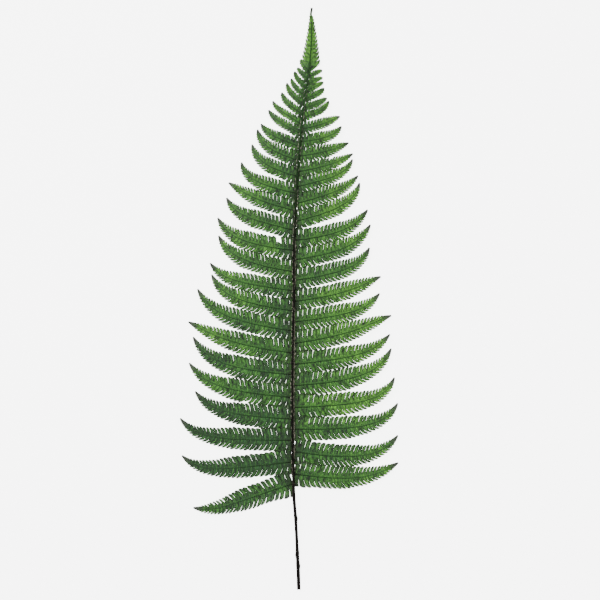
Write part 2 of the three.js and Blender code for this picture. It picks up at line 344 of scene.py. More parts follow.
class Sheet:
    """What a leaflet or the tip is cut from: places along and across its midrib, in millimetres."""

    tail_start = FINE_TAIL_START  # share of the length where the lobes give way to the tail
    joined = 0.0  # how far its foot is grown together with its neighbours
    slim = 0.0  # how far it has a short leaflet's teeth
    toothed = 1.0  # how far the ends of its lobes fall back
    open_slits = 1.0  # width of its slits, against other sheets'
    flare = 1.2  # how much wider the slits are at the ends of the lobes
    slit_glow_strength = 1.0  # how much light from the floor is painted along the edges of the slits
    hiding = 0.0  # how much tighter the slits get towards the sheet's tip
    withered = ()  # dark lobes, as (edge, lobe) pairs

    def root(self, edge):
        """Half width where the first lobe starts."""
        return lerp(ROOT_WIDTH, self.half_width(0, edge), self.joined)


class Leaflet(Sheet):
    """One leaflet, lying as its solid does."""

    def __init__(self, row, side, spacing, rests, twist, chance):
        foot, tip_x, tip_y, self.leaving, ending = row
        self.side = side
        foot_x = stem_at(foot)[0]
        reach = math.hypot(tip_x - foot_x, tip_y - foot)
        out, back = math.radians(self.leaving), math.radians(ending)
        self.handles = (
            (foot_x, foot),
            (foot_x + side * FOOT_HANDLE * reach * math.cos(out), foot + FOOT_HANDLE * reach * math.sin(out)),
            (tip_x - side * TIP_HANDLE * reach * math.cos(back), tip_y - TIP_HANDLE * reach * math.sin(back)),
            (tip_x, tip_y),
        )
        self.measure()
        self.joined = 1 - smooth(*GROWN_TOGETHER, self.length)
        self.slim = 1 - smooth(*SLIM, self.length)
        self.toothed = lerp(self.toothed, SLIM_TOOTHED, self.slim)
        self.flare = lerp(self.flare, SLIM_FLARE, self.slim)
        self.hiding = LEFT_HIDING * (1 - self.slim) if side < 0 else 0.0
        self.narrow = smooth(*NARROWING, foot)
        self.widest = min(spacing * WIDTH_SHARE, WIDEST) * lerp(1, math.cos(out), self.joined)
        pitch = SOLID_LOBE_PITCH * (0.4 + 0.6 * self.length / LONGEST)
        solid_lobes = max(math.floor((self.length - STALK) / pitch + 0.5), LEAST_LOBES)
        self.root_height = rib_height(foot)
        lift = 0 if rests else 0.5 + min(self.root_height * 0.25, 2) * (1 + chance())
        self.tip_height = SOLID_THICK / 2 + lift
        self.arch = ARCH * (1 + 0.3 * chance()) * min(self.length / FULL_ARCH_LENGTH, 1)
        self.tilt = math.tan(math.radians(SHINGLE + twist + chance()))
        for _ in range(2 * solid_lobes):  # the solid's lobes take these draws
            chance()

    def half_width(self, share, edge):
        touching, width, power = FINE_WIDTHS[edge]
        power = lerp(power, SHORT_TAPER, self.joined)
        swell = 1 + FOOT_SWELL * fade(share, FOOT_SWELL_SHARE)
        touching *= lerp(1, NARROW[edge], self.narrow) * swell
        width *= lerp(1, SHORT_WIDTH, self.slim)
        wing = (WINGS[0] * self.narrow + WINGS[1] * self.joined) * fade(share * self.length, WING_REACH)
        added = lerp(*EDGE_WIDTHS, smooth(0.6, 0.95, share))
        return min(touching, width * (1 - share**power)) * self.widest + added + wing

    def notch(self, share, edge):
        """How far from the midrib the slits between the lobes end."""
        if self.length < ENTIRE_BELOW:
            deep = 0.62
        else:
            deep = lerp(0.34 + 0.2 * share * share, 0.5, self.slim)
        return self.half_width(share, edge) * deep

    def lobe_angle(self, along, edge):
        share = along / self.length
        turn = FIRST_LOBE_TURN[edge] * math.exp(-along / FIRST_TURN_REACH)
        free = lerp(*LOBE_ANGLES[edge], share**1.2) + turn
        beside_stem = 94 - edge * self.leaving + 45 * share
        return clamp(free, LEAST_ANGLE, beside_stem)

    def start(self):
        """Way along the midrib to the first lobe."""
        return ROOT_GAP * (1 - 0.8 * self.joined) / math.cos(math.radians(self.leaving))

    def measure(self, steps=200):
        """Tables of the midrib's points and of the way along it."""
        self.points = [self.bezier(i / steps) for i in range(steps + 1)]
        self.ways = [0.0]
        for a, b in zip(self.points, self.points[1:]):
            self.ways.append(self.ways[-1] + math.dist(a, b))
        self.length = self.ways[-1]

    def bezier(self, t):
        weights = ((1 - t) ** 3, 3 * t * (1 - t) ** 2, 3 * t * t * (1 - t), t**3)
        return tuple(sum(w * p[axis] for w, p in zip(weights, self.handles)) for axis in (0, 1))

    def midrib(self, along):
        """Point and heading of the midrib at a way along it."""
        way = clamp(along, 0, self.length)
        high = clamp(bisect(self.ways, way), 1, len(self.ways) - 1)
        low = high - 1
        a, b = self.points[low], self.points[high]
        t = (way - self.ways[low]) / (self.ways[high] - self.ways[low])
        step = math.dist(a, b)
        return (lerp(a[0], b[0], t), lerp(a[1], b[1], t)), ((b[0] - a[0]) / step, (b[1] - a[1]) / step)

    def place(self, along, across):
        (x, y), (ahead_x, ahead_y) = self.midrib(along)
        share = clamp(along / self.length)
        settled = min(along / TILT_REACH, 1) * (1 - share**3)
        fall = max(abs(across) - FLAT_MIDDLE, 0) * ROOF
        height = lerp(self.root_height, self.tip_height, share * share)
        height += self.arch * math.sin(math.pi * share)
        return (
            x - self.side * ahead_y * across,
            y + self.side * ahead_x * across,
            height + (self.tilt * across - fall) * settled,
        )


class TipSheet(Sheet):
    """The lobed end of the frond, round the end of the stem."""

    side = -1  # across runs to the right
    tail_start = 0.88
    slim = 1.0
    toothed = 0.6
    flare = 3.2
    hiding = -3.0
    slit_glow_strength = 0.0
    withered = ((1, 11), (1, 13))

    length = FROND_LENGTH - FINE_TIP_START

    def half_width(self, share, edge):
        first, widening = TIP_SHOULDERS[edge]
        spread, added = TIP_WIDTHS[edge]
        spike = smooth(*SPIKE, share)
        width = spread * (1 - share) * (1 - spike)
        shoulder = 0.5 + widening * max(share * self.length - first, 0)
        return min(width, shoulder) + lerp(added, SPIKE_WIDTH, spike)

    def notch(self, share, edge):
        return self.half_width(share, edge) * lerp(*TIP_NOTCHES, share)

    def lobe_angle(self, along, edge):
        return lerp(*TIP_ANGLES, along / self.length)

    def start(self):
        return 0.0

    def midrib(self, along):
        y = FINE_TIP_START + along
        lean = stem_at(y + 1)[0] - stem_at(y - 1)[0]
        norm = math.hypot(lean, 2)
        return (stem_at(y)[0], y), (lean / norm, 2 / norm)

    def place(self, along, across):
        (x, y), (ahead_x, ahead_y) = self.midrib(along)
        height = rib_height(y) - ROOF * abs(across)
        at, reach, aside = SPIKE_BEND
        return x + ahead_y * across - aside * fade(y - at, reach), y - ahead_x * across, height


def all_leaflets():
    """Every leaflet by side, with the same draws as the solids take."""
    chance = Chance(SOLID_SEED)
    made = {}
    for side, rows in ((-1, LEFT), (1, RIGHT)):
        made[side] = []
        for i, row in enumerate(rows):
            after = rows[i + 1][0] if i + 1 < len(rows) else 2 * row[0] - rows[i - 1][0]
            before = rows[i - 1][0] if i else 2 * row[0] - after
            twist = LOWEST_TWIST if side < 0 and i == 0 else 0
            leaflet = Leaflet(row, side, (after - before) / 2, i in REST[side], twist, chance)
            leaflet.widest *= ODD_WIDTHS.get((side, i), 1)
            made[side].append(leaflet)
    made[-1][0].open_slits = 2.5  # the lowest left leaflet is loose
    return made


# What the corners of a leaf keep for its materials: share of the way along and out, how far they are from
# the lobe's own vein and from the midrib, a number that differs from lobe to lobe, whether they are beside a
# slit, where light from the floor is painted on, and the tones of the leaflet and of the lobe
LAYERS = ("share", "outward", "off_vein", "from_midrib", "lane", "slit_glow_mask", "tone", "lobe_tone")
OTHER_EDGE = 47  # from the lanes of one edge of a leaflet to those of the other


def slit_grid(bm, sheet, lobes):
    """Adds a flat grid to bm, with a slit between each two lobes, and returns its corners."""
    columns = STALK_COLUMNS + lobes * LOBE_COLUMNS + TAIL_COLUMNS
    last = columns - TAIL_COLUMNS
    column_layer = bm.verts.layers.int["column"]
    row_layer = bm.verts.layers.int["row"]
    lobe_layer = bm.faces.layers.int["lobe"]
    grid = bmesh.ops.create_grid(bm, x_segments=columns, y_segments=2 * FRINGE, size=1)["verts"]
    for vert in grid:
        vert[column_layer] = round((vert.co.x + 1) / 2 * columns)
        vert[row_layer] = (round((vert.co.y + 1) * FRINGE) - FRINGE) * sheet.side

    spare = []
    for face in {face for vert in grid for face in vert.link_faces}:
        column = min(vert[column_layer] for vert in face.verts)
        row = max(abs(vert[row_layer]) for vert in face.verts)
        face[lobe_layer] = (column - STALK_COLUMNS) // LOBE_COLUMNS
        face.smooth = True
        if row > CORE_ROWS and not STALK_COLUMNS <= column < last:
            spare.append(face)
    bmesh.ops.delete(bm, geom=spare, context="FACES")
    grid = [vert for vert in grid if vert.is_valid]

    slits = []
    for edge in {edge for vert in grid for edge in vert.link_edges}:
        a, b = edge.verts
        column = a[column_layer]
        between = column == b[column_layer] and (column - STALK_COLUMNS) % LOBE_COLUMNS == 0
        outer = min(abs(a[row_layer]), abs(b[row_layer])) >= CORE_ROWS
        if between and outer and STALK_COLUMNS < column < last:
            slits.append(edge)
    split = bmesh.ops.split_edges(bm, edges=slits)["edges"]
    return set(grid) | {vert for edge in split for vert in edge.verts}


class LobeRow:
    """The lobes of one edge of a sheet: where each starts and how it differs from its neighbours."""

    def __init__(self, sheet, edge, lobes, chance, sizes, torn):
        self.sheet = sheet
        self.edge = edge
        self.lobes = lobes
        self.start = sheet.start()
        self.end = sheet.tail_start * sheet.length
        self.last = STALK_COLUMNS + lobes * LOBE_COLUMNS
        self.sizes = sizes
        self.recess = 0.6 * chance() * (1 - sheet.joined)
        self.open_slits = [0.0]
        self.habits = []
        for index in range(lobes):
            # Slits are tight near the stem, and on edge 1 they open further towards the tip
            hidden = 0.1 - min(index, 6) * 0.07 + 0.15 * edge * (1 - 2 * index / lobes)
            hidden += sheet.hiding * index / lobes
            self.open_slits.append(smooth(-1.0, 0.2, chance() - hidden) * sheet.open_slits)
            self.habits.append({
                "reach": 1 + sizes.unevenness * 0.3 * chance(),
                "twist": sizes.unevenness * 2 * chance(),
                "curl": 1 + 0.7 * chance(),
                "tone": chance() if (edge, index) not in sheet.withered else -3,
            })
        if torn and torn[0] == edge:
            for index in range(torn[1], torn[2] + 1):
                self.habits[index]["reach"] *= torn[3]

    def notch_at(self, index):
        t = index / self.lobes
        return lerp(self.start, self.end, t * (1.2 - 0.2 * t))

    def along_at(self, column):
        """Way along the midrib of a column of the grid."""
        if column <= STALK_COLUMNS:
            return self.start * column / STALK_COLUMNS
        if column >= self.last:
            return lerp(self.end, self.sheet.length, (column - self.last) / TAIL_COLUMNS)
        index, part = divmod(column - STALK_COLUMNS, LOBE_COLUMNS)
        return lerp(self.notch_at(index), self.notch_at(index + 1), part / LOBE_COLUMNS)

    def core_at(self, column, along):
        """Half width of the unslit middle."""
        share = along / self.sheet.length
        if column <= STALK_COLUMNS:
            return self.sheet.root(self.edge)
        if column >= self.last:
            tail = (column - self.last) / TAIL_COLUMNS
            return self.sheet.half_width(share, self.edge) * lerp(0.8, 1, smooth(0, 0.3, tail))
        opening = smooth(0, LOBE_COLUMNS, column - STALK_COLUMNS)
        return lerp(self.sheet.root(self.edge), self.sheet.notch(share, self.edge), opening)

    def core_point(self, column, depth):
        """Along, across, bump, distance from the lobe's own vein and painted slit light, in the unslit
        middle.
        """
        along = self.along_at(column)
        share = depth / CORE_ROWS
        across = self.core_at(column, along) * share
        part = (column - STALK_COLUMNS) % LOBE_COLUMNS
        off_vein = abs(2 * part / LOBE_COLUMNS - 1)
        bump = 0.0
        if STALK_COLUMNS < column < self.last:
            angle = self.sheet.lobe_angle(along, self.edge)
            along += 0.25 * across / math.tan(math.radians(angle))
            bump = 0.12 * self.sizes.pillow * (1 - off_vein**2) * share
        return along, self.edge * across, bump, off_vein, 0.0

    def lobe_point(self, index, column, depth):
        """The same on a lobe, beyond the notches. Neighbouring lobes share their border, less the slit."""
        habit = self.habits[index]
        # Place on the lobe: a runs from its near to its far side, b from its notches to its end
        a = (column - STALK_COLUMNS) / LOBE_COLUMNS - index
        b = (depth - CORE_ROWS) / LOBE_ROWS
        foot = self.along_at(column)
        pitch = self.notch_at(index + 1) - self.notch_at(index)
        low = self.core_at(column, foot)
        full = self.sheet.half_width(foot / self.sheet.length, self.edge)
        rise = max(full - low, 0.3) * habit["reach"]
        far_side = max(a - LOBE_PEAK, 0) / (1 - LOBE_PEAK)
        near_side = max(LOBE_PEAK - a, 0) / LOBE_PEAK
        toothed = self.sheet.toothed * lerp(0.9, 1.4, foot / self.sheet.length)
        drop = FAR_FALL[0] * far_side ** FAR_FALL[1] + NEAR_FALL[0] * near_side ** NEAR_FALL[1]
        drop *= self.sizes.rounding * toothed
        out = rise * b - min(drop, MOST_FALL * rise) * b * b
        slant = math.tan(math.radians(self.sheet.lobe_angle(foot, self.edge)))
        before, after = self.open_slits[index : index + 2]
        slit = self.sizes.slit_width / 2 * smooth(0, SLIT_OPENING, b)
        slit *= lerp(0.9, self.sheet.flare, b) * min(pitch / FULL_SLIT_PITCH, 1)
        outer = smooth(*OUTER_PART, foot / self.sheet.length) * (1 - self.sheet.slim)
        slit *= lerp(1, OUTER_SLITS, outer)
        along = foot + (before * (1 - a) - after * a) * slit + (0.25 * low + out) / slant
        if index == 0:
            along += max(self.recess, 0) * (1 - a) ** 2 * smooth(0.1, 0.6, b)
        else:
            along += 0.08 * pitch * b * b
        off_vein = abs(2 * a - 1)
        arc = 1 - off_vein**2
        bump = self.sizes.pillow * (0.12 + 0.25 * b) * arc
        bump -= self.sizes.curl * habit["curl"] * b**2.5 * (0.35 + 0.65 * rise / 7)
        bump += habit["twist"] * (2 * a - 1) * b * pitch / 4
        # Painted light of the floor along an open slit, on the lobe's border beside it
        beside = before if a < 0.01 else after if a > 0.99 else 0.0
        slit_glow_mask = min(beside, 1.0) * smooth(0, 0.3, b) * self.sheet.slit_glow_strength
        return min(along, self.sheet.length * 0.995), self.edge * (low + out), bump, off_vein, slit_glow_mask


def cut_sheet(bm, sheet, lobes, tone, chance, sizes, torn):
    """Adds one lobed sheet to bm, bent into the sheet's place."""
    verts = slit_grid(bm, sheet, lobes)
    column_layer = bm.verts.layers.int["column"]
    row_layer = bm.verts.layers.int["row"]
    lobe_layer = bm.faces.layers.int["lobe"]
    layers = [bm.verts.layers.float[name] for name in LAYERS]
    rows = {edge: LobeRow(sheet, edge, lobes, chance, sizes, torn) for edge in (1, -1)}
    first_lane = 40 * (1 + chance())
    for vert in verts:
        column, row = vert[column_layer], vert[row_layer]
        lobe_row = rows[1 if row > 0 else -1]
        lobe_tone = 0.0
        if abs(row) <= CORE_ROWS:
            along, across, bump, off_vein, slit_glow_mask = lobe_row.core_point(column, abs(row))
        else:
            index = vert.link_faces[0][lobe_layer]
            along, across, bump, off_vein, slit_glow_mask = lobe_row.lobe_point(index, column, abs(row))
            lobe_tone = lobe_row.habits[index]["tone"]
        share = clamp(along / sheet.length)
        bump -= sizes.groove * (1 - smooth(0, 1.2, abs(across))) * (1 - share)
        x, y, z = sheet.place(along, across)
        vert.co = in_frame(x, y, max(z + bump, SOLID_THICK / 2))
        outward = clamp(abs(across) / sheet.half_width(share, lobe_row.edge))
        lane = first_lane + (column - STALK_COLUMNS) / LOBE_COLUMNS + (0 if row > 0 else OTHER_EDGE)
        kept = (share, outward, off_vein, abs(across), lane, slit_glow_mask, tone, lobe_tone)
        for layer, value in zip(layers, kept):
            vert[layer] = value


def leaf_mesh(name, sheets, sizes, materials):
    """A piece of several lobed sheets: (sheet, lobes, tone, torn) each."""
    bm = bmesh.new()
    for layer in ("column", "row"):
        bm.verts.layers.int.new(layer)
    bm.faces.layers.int.new("lobe")
    for layer in LAYERS:
        bm.verts.layers.float.new(layer)
    chance = Chance(sum(map(ord, name)))
    for sheet, lobes, tone, torn in sheets:
        cut_sheet(bm, sheet, lobes, tone, chance, sizes, torn)
    for layer in ("column", "row"):
        bm.verts.layers.int.remove(bm.verts.layers.int[layer])
    bm.faces.layers.int.remove(bm.faces.layers.int["lobe"])
    return as_piece(name, bm, *materials)


def as_piece(name, bm, *materials):
    """A new object with bm's mesh, at the origin."""
    mesh = bpy.data.meshes.new(name)
    bm.to_mesh(mesh)
    bm.free()
    for material in materials:
        mesh.materials.append(material)
    piece = bpy.data.objects.new(name, mesh)
    bpy.context.scene.collection.objects.link(piece)
    return piece


def thicken(piece, thickness):
    """Gives a piece of single faces a thickness, with its last material on the lower face."""
    shell = piece.modifiers.new("Thickness", "SOLIDIFY")
    shell.thickness = thickness
    shell.offset = 0
    shell.material_offset = len(piece.data.materials) - 1


def sweep(bm, stations, sides, way_layer, around_layer=None):
    """Adds a tube open at both ends: stations are (centre, half width, half height, way) each."""
    last = len(stations) - 1
    tube = bmesh.ops.create_grid(bm, x_segments=sides, y_segments=last, size=1)["verts"]
    for vert in tube:
        turn = (vert.co.x + 1) * math.pi
        centre, sideways, upwards, way = stations[round((vert.co.y + 1) / 2 * last)]
        vert.co = centre + sideways * math.cos(turn) + upwards * math.sin(turn)
        vert[way_layer] = way
        if around_layer:
            vert[around_layer] = math.cos(turn)
    bmesh.ops.remove_doubles(bm, verts=tube, dist=1e-7)


def close_tubes(bm):
    """Closes the ends of all tubes in bm and turns their faces outwards."""
    for face in bm.faces:
        face.smooth = True
    bmesh.ops.holes_fill(bm, edges=[edge for edge in bm.edges if edge.is_boundary], sides=0)
    bmesh.ops.recalc_face_normals(bm, faces=bm.faces)


def size_property(name, description, default, low, high, **options):
    return bpy.props.FloatProperty(
        name=name, description=description, default=default, min=low, max=high, **options
    )


class FrondSizes(bpy.types.PropertyGroup):
    leaf_thickness: size_property(
        "Leaf thickness", "Thickness of the dry leaf", 0.00034, 0.0001, 0.0007, precision=5, unit="LENGTH"
    )
    lobe_pitch: size_property("Lobe pitch", "Between the lobes of long leaflets, in millimetres", 4.35, 2, 12)
    slit_width: size_property("Slit width", "Width of a slit before it flares, in millimetres", 0.17, 0, 1.5)
    rounding: size_property("Rounding", "How round the ends of the lobes are", 1.0, 0, 2)
    pillow: size_property("Pillow", "How far a lobe swells between its edges, in millimetres", 0.8, 0, 2)
    curl: size_property("Curl", "How far the ends of the lobes curl down, in millimetres", 1.0, 0, 3)
    groove: size_property("Groove", "Depth of the groove along a midrib, in millimetres", 0.25, 0, 1)
    unevenness: size_property("Unevenness", "How much the lobes differ from each other", 0.16, 0, 1)
    floor_glow: size_property("Floor glow", "How brightly the floor shines, like a light table", 5.5, 0, 20)
    midrib_radius: size_property(
        "Midrib radius", "Radius of a long leaflet's midrib at its foot, in millimetres", 0.42, 0.1, 1
    )


def colour_property(name, description, default):
    return bpy.props.FloatVectorProperty(
        name=name, description=description, default=default, subtype="COLOR", size=3, min=0, max=1
    )


class FrondColours(bpy.types.PropertyGroup):
    # Painted shade of the leaf next to the stem, and the dark of darker leaflets
    shade_green: colour_property("Shade green", "Leaf next to the stem", (0.012, 0.052, 0.012))
    leaf_green: colour_property("Leaf green", "Leaf in the middle", (0.029, 0.112, 0.014))
    bright_green: colour_property("Bright green", "Leaf towards the leaflets' tips", (0.075, 0.245, 0.018))
    # Dark of the side veins and withered lobes, also painted shade between the lobes, at their curled-down
    # ends and by the stem at the leaflets' feet
    lobe_dark_and_shade: colour_property("Lobe ends", "Dark dry ends of the lobes", (0.009, 0.019, 0.005))
    # Painted light: the glow of the bright floor along the slits
    slit_glow: colour_property("Slit edges", "Thin pale edges beside the slits", (0.34, 0.48, 0.26))
    midrib_green: colour_property("Midrib", "Line along the middle of each leaflet", (0.006, 0.032, 0.004))
    dry_tip: colour_property("Dry tips", "Withered tips of the leaflets", (0.036, 0.048, 0.03))
    underside: colour_property("Underside", "Paler leaf seen from below", (0.08, 0.15, 0.045))
    stem_brown: colour_property("Stem", "Bare stalk", (0.004, 0.003, 0.0022))
    # Also painted light on the stem's lit side
    stem_fleck_and_light: colour_property("Stem flecks", "Pale scales and scars on the stem", (0.25, 0.24, 0.18))
    stem_green: colour_property("Green stem", "Upper end of the stem", (0.012, 0.042, 0.01))
    floor: colour_property("Floor", "Plain pale floor", (0.95, 0.95, 0.95))


def feed(socket, value):
    """Gives a socket a number, a colour or what a node puts out."""
    if isinstance(value, Value):
        value.tree.links.new(value.socket, socket)
    elif isinstance(value, (int, float)):
        socket.default_value = value
    else:
        socket.default_value = (*value, 1)


class Value:
    """What a node puts out. Arithmetic with it adds math nodes to its tree."""

    def __init__(self, socket):
        self.socket = socket
        self.tree = socket.id_data

    def operate(self, operation, *others):
        """What a math node makes of this and the others."""
        node = self.tree.nodes.new("ShaderNodeMath")
        node.operation = operation
        for socket, value in zip(node.inputs, (self, *others)):
            feed(socket, value)
        return Value(node.outputs[0])

    __add__ = partialmethod(operate, "ADD")
    __sub__ = partialmethod(operate, "SUBTRACT")
    __mul__ = partialmethod(operate, "MULTIPLY")
    __truediv__ = partialmethod(operate, "DIVIDE")
    __pow__ = partialmethod(operate, "POWER")

    def step(self, low, high, to_low=0.0, to_high=1.0):
        """A smooth step from to_low at low to to_high at high."""
        node = self.tree.nodes.new("ShaderNodeMapRange")
        node.interpolation_type = "SMOOTHSTEP"
        for socket, value in zip(node.inputs, (self, low, high, to_low, to_high)):
            feed(socket, value)
        return Value(node.outputs["Result"])

    def noise(self, scale, detail=3, roughness=0.5):
        """Noise at these coordinates."""
        node = self.tree.nodes.new("ShaderNodeTexNoise")
        settings = {"Vector": self, "Scale": scale, "Detail": detail, "Roughness": roughness}
        for name, value in settings.items():
            feed(node.inputs[name], value)
        return Value(node.outputs["Fac"])


def mixed(tree, share, a, b, blend="MIX"):
    """Colour a with a share of colour b."""
    node = tree.nodes.new("ShaderNodeMix")
    node.data_type = "RGBA"
    node.blend_type = blend
    node.clamp_factor = True
    for index, value in ((0, share), (6, a), (7, b)):
        feed(node.inputs[index], value)
    return Value(node.outputs[2])


def painted(ground, *coats):
    """A ground colour under coats of (share, colour), the last on top."""
    for share, colour in coats:
        ground = mixed(share.tree, share, ground, colour)
    return ground


def shaded(colour, shade):
    """A colour times a number."""
    grey = colour.tree.nodes.new("ShaderNodeCombineColor")
    for socket in grey.inputs[:3]:
        feed(socket, shade)
    return mixed(colour.tree, 1.0, colour, Value(grey.outputs[0]), "MULTIPLY")


def attributes(tree, *names):
    """What a mesh's corners keep under these names."""
    values = []
    for name in names:
        node = tree.nodes.new("ShaderNodeAttribute")
        node.attribute_name = name
        values.append(Value(node.outputs["Fac"]))
    return values


def new_group(name, inputs, outputs):
    """A node group with named number sockets, and one for coordinates if it is called Vector."""
    group = bpy.data.node_groups.new(name, "ShaderNodeTree")
    for direction, sockets in (("INPUT", inputs), ("OUTPUT", outputs)):
        for socket in sockets:
            kind = "NodeSocketVector" if socket == "Vector" else "NodeSocketFloat"
            group.interface.new_socket(name=socket, in_out=direction, socket_type=kind)
    source = group.nodes.new("NodeGroupInput")
    target = group.nodes.new("NodeGroupOutput")
    return group, [Value(source.outputs[socket]) for socket in inputs], target


def mottle_group():
    """Blotches and grain of a dry plant: a number round 1 that colours are multiplied by, and a height."""
    name = "Dry mottle"
    if name in bpy.data.node_groups:
        return bpy.data.node_groups[name]
    inputs = ("Vector", "Blotch scale", "Grain scale", "Blotches", "Grain")
    group, (where, blotch_scale, grain_scale, blotches, grain), target = new_group(
        name, inputs, ("Shade", "Height")
    )
    height = where.noise(grain_scale)
    wide = (where.noise(blotch_scale) - 0.5) * blotches
    fine = (height - 0.5) * grain
    feed(target.inputs["Shade"], wide + fine + 1)
    feed(target.inputs["Height"], height)
    return group


def vein_group():
    """Veins of a lobe: a mask for the one along its middle, and one for those that fork from it."""
    name = "Lobe veins"
    if name in bpy.data.node_groups:
        return bpy.data.node_groups[name]
    inputs = ("Off vein", "From midrib", "Spacing")
    group, (off_vein, from_midrib, spacing), target = new_group(name, inputs, ("Vein", "Side vein"))
    turns = (from_midrib - off_vein * 1.1) / spacing * (2 * math.pi)
    feed(target.inputs["Vein"], off_vein.step(0.0, 0.25, 1.0, 0.0))
    feed(target.inputs["Side vein"], turns.operate("SINE").step(0.4, 1.0))
    return group


def place_group(tree, group, **values):
    """What a node group puts out. An input's name has an underscore for each space."""
    node = tree.nodes.new("ShaderNodeGroup")
    node.node_tree = group
    for name, value in values.items():
        feed(node.inputs[name.replace("_", " ")], value)
    return [Value(output) for output in node.outputs]


def new_material(name, roughness, specular=0.5):
    """A material, its tree and shader, and the object's own coordinates in it."""
    material = bpy.data.materials.new(name)
    material.use_nodes = True
    tree = material.node_tree
    shader = tree.nodes["Principled BSDF"]
    feed(shader.inputs["Roughness"], roughness)
    feed(shader.inputs["Specular IOR Level"], specular)
    return material, tree, shader, Value(tree.nodes.new("ShaderNodeTexCoord").outputs["Object"])


def finish_material(shader, colour, height, strength, distance=0.0003):
    """Connects a colour, and a height as a bump."""
    bump = colour.tree.nodes.new("ShaderNodeBump")
    for name, value in (("Strength", strength), ("Distance", distance), ("Height", height)):
        feed(bump.inputs[name], value)
    feed(shader.inputs["Normal"], Value(bump.outputs["Normal"]))
    feed(shader.inputs["Base Color"], colour)


def leaf_material(colours):
    """Upper face of the leaflets: brighter towards their tips, with painted shade by the stem, between the
    lobes and at the lobes' ends.
    """
    material, tree, shader, where = new_material("fern leaf", 0.62, 0.35)
    share, outward, off_vein, from_midrib, lane, slit_glow_mask, tone, lobe_tone = attributes(tree, *LAYERS)
    shade, grain = place_group(
        tree, mottle_group(), Vector=where, Blotch_scale=160, Grain_scale=800, Blotches=1.4, Grain=2.8
    )
    vein, side_vein = place_group(
        tree, vein_group(), Off_vein=off_vein, From_midrib=from_midrib, Spacing=VEIN_SPACING
    )

    # Streaks run out along each lobe, because its lane differs from its neighbours'
    lanes = tree.nodes.new("ShaderNodeCombineXYZ")
    feed(lanes.inputs["X"], lane)
    feed(lanes.inputs["Y"], from_midrib * 0.07)
    streak = Value(lanes.outputs[0]).noise(3.1, 2, 0.6) - 0.5
    wander = (where.noise(55) - 0.5) * 1.5 + streak * 1.6
    ripening = (tone * 0.7 + 0.75).operate("MAXIMUM", -0.5)
    age = share * ripening + tone * 0.12 + wander + lobe_tone * 0.16

    end_shade_share = share.step(0.45, 0.95, 1.0, 0.6)
    colour = painted(
        # painted shade by the stem, and the dark of darker leaflets
        colours.shade_green,
        (age.step(-0.15, 0.3), colours.leaf_green),
        (age.step(0.35, 1.0), colours.bright_green),
        # painted shade along the borders between the lobes
        (off_vein**2.5 * outward.step(0.08, 0.4) * 0.8, colours.lobe_dark_and_shade),
        (vein * 0.32, colours.bright_green),
        (side_vein * 0.22, colours.lobe_dark_and_shade),
        # painted shade at the curled-down ends of the lobes, the dark of withered lobes, and painted shade by
        # the stem at the leaflet's foot
        (outward.step(0.8, 0.97) * end_shade_share * lobe_tone.step(-1.0, 0.3, 0.45, 0.9), colours.lobe_dark_and_shade),
        (lobe_tone.step(-2.5, -1.5, 0.9, 0.0) * outward.step(0.35, 0.6), colours.lobe_dark_and_shade),
        (share.step(0.0, 0.14, 1.0, 0.0) * 0.6, colours.lobe_dark_and_shade),
        (from_midrib.step(0.25, 0.8, 0.8, 0.0), colours.midrib_green),
        (share.step(0.88, 0.97), colours.dry_tip),
    )
    streaky = (shade + streak * 5.0).operate("MAXIMUM", 0.25).operate("MINIMUM", 2.3)
    colour = shaded(colour, streaky)
    # painted light of the floor along the open slits
    colour = painted(colour, (slit_glow_mask.step(0.4, 0.95, 0.0, 0.9), colours.slit_glow))
    feed(shader.inputs["Roughness"], grain * 0.3 + 0.45)
    finish_material(shader, colour, grain + side_vein * 0.8 - vein * 0.7, 0.5)
    return material


def underside_material(colours):
    """Lower face: paler and duller, with the veins standing out."""
    material, tree, shader, where = new_material("fern leaf underside", 0.78, 0.25)
    share, outward, off_vein, from_midrib = attributes(tree, *LAYERS[:4])
    shade, grain = place_group(
        tree, mottle_group(), Vector=where, Blotch_scale=60, Grain_scale=700, Blotches=0.35, Grain=0.5
    )
    vein, side_vein = place_group(
        tree, vein_group(), Off_vein=off_vein, From_midrib=from_midrib, Spacing=VEIN_SPACING
    )
    colour = painted(
        colours.leaf_green,
        (share.step(0.0, 0.6), colours.underside),
        (vein * 0.5, colours.bright_green),
        (side_vein * 0.3, colours.leaf_green),
        (outward.step(0.85, 1.0, 0.0, 0.5), colours.lobe_dark_and_shade),
        (share.step(0.94, 0.99), colours.dry_tip),
    )
    finish_material(shader, shaded(colour, shade), grain + vein, 0.4)
    return material


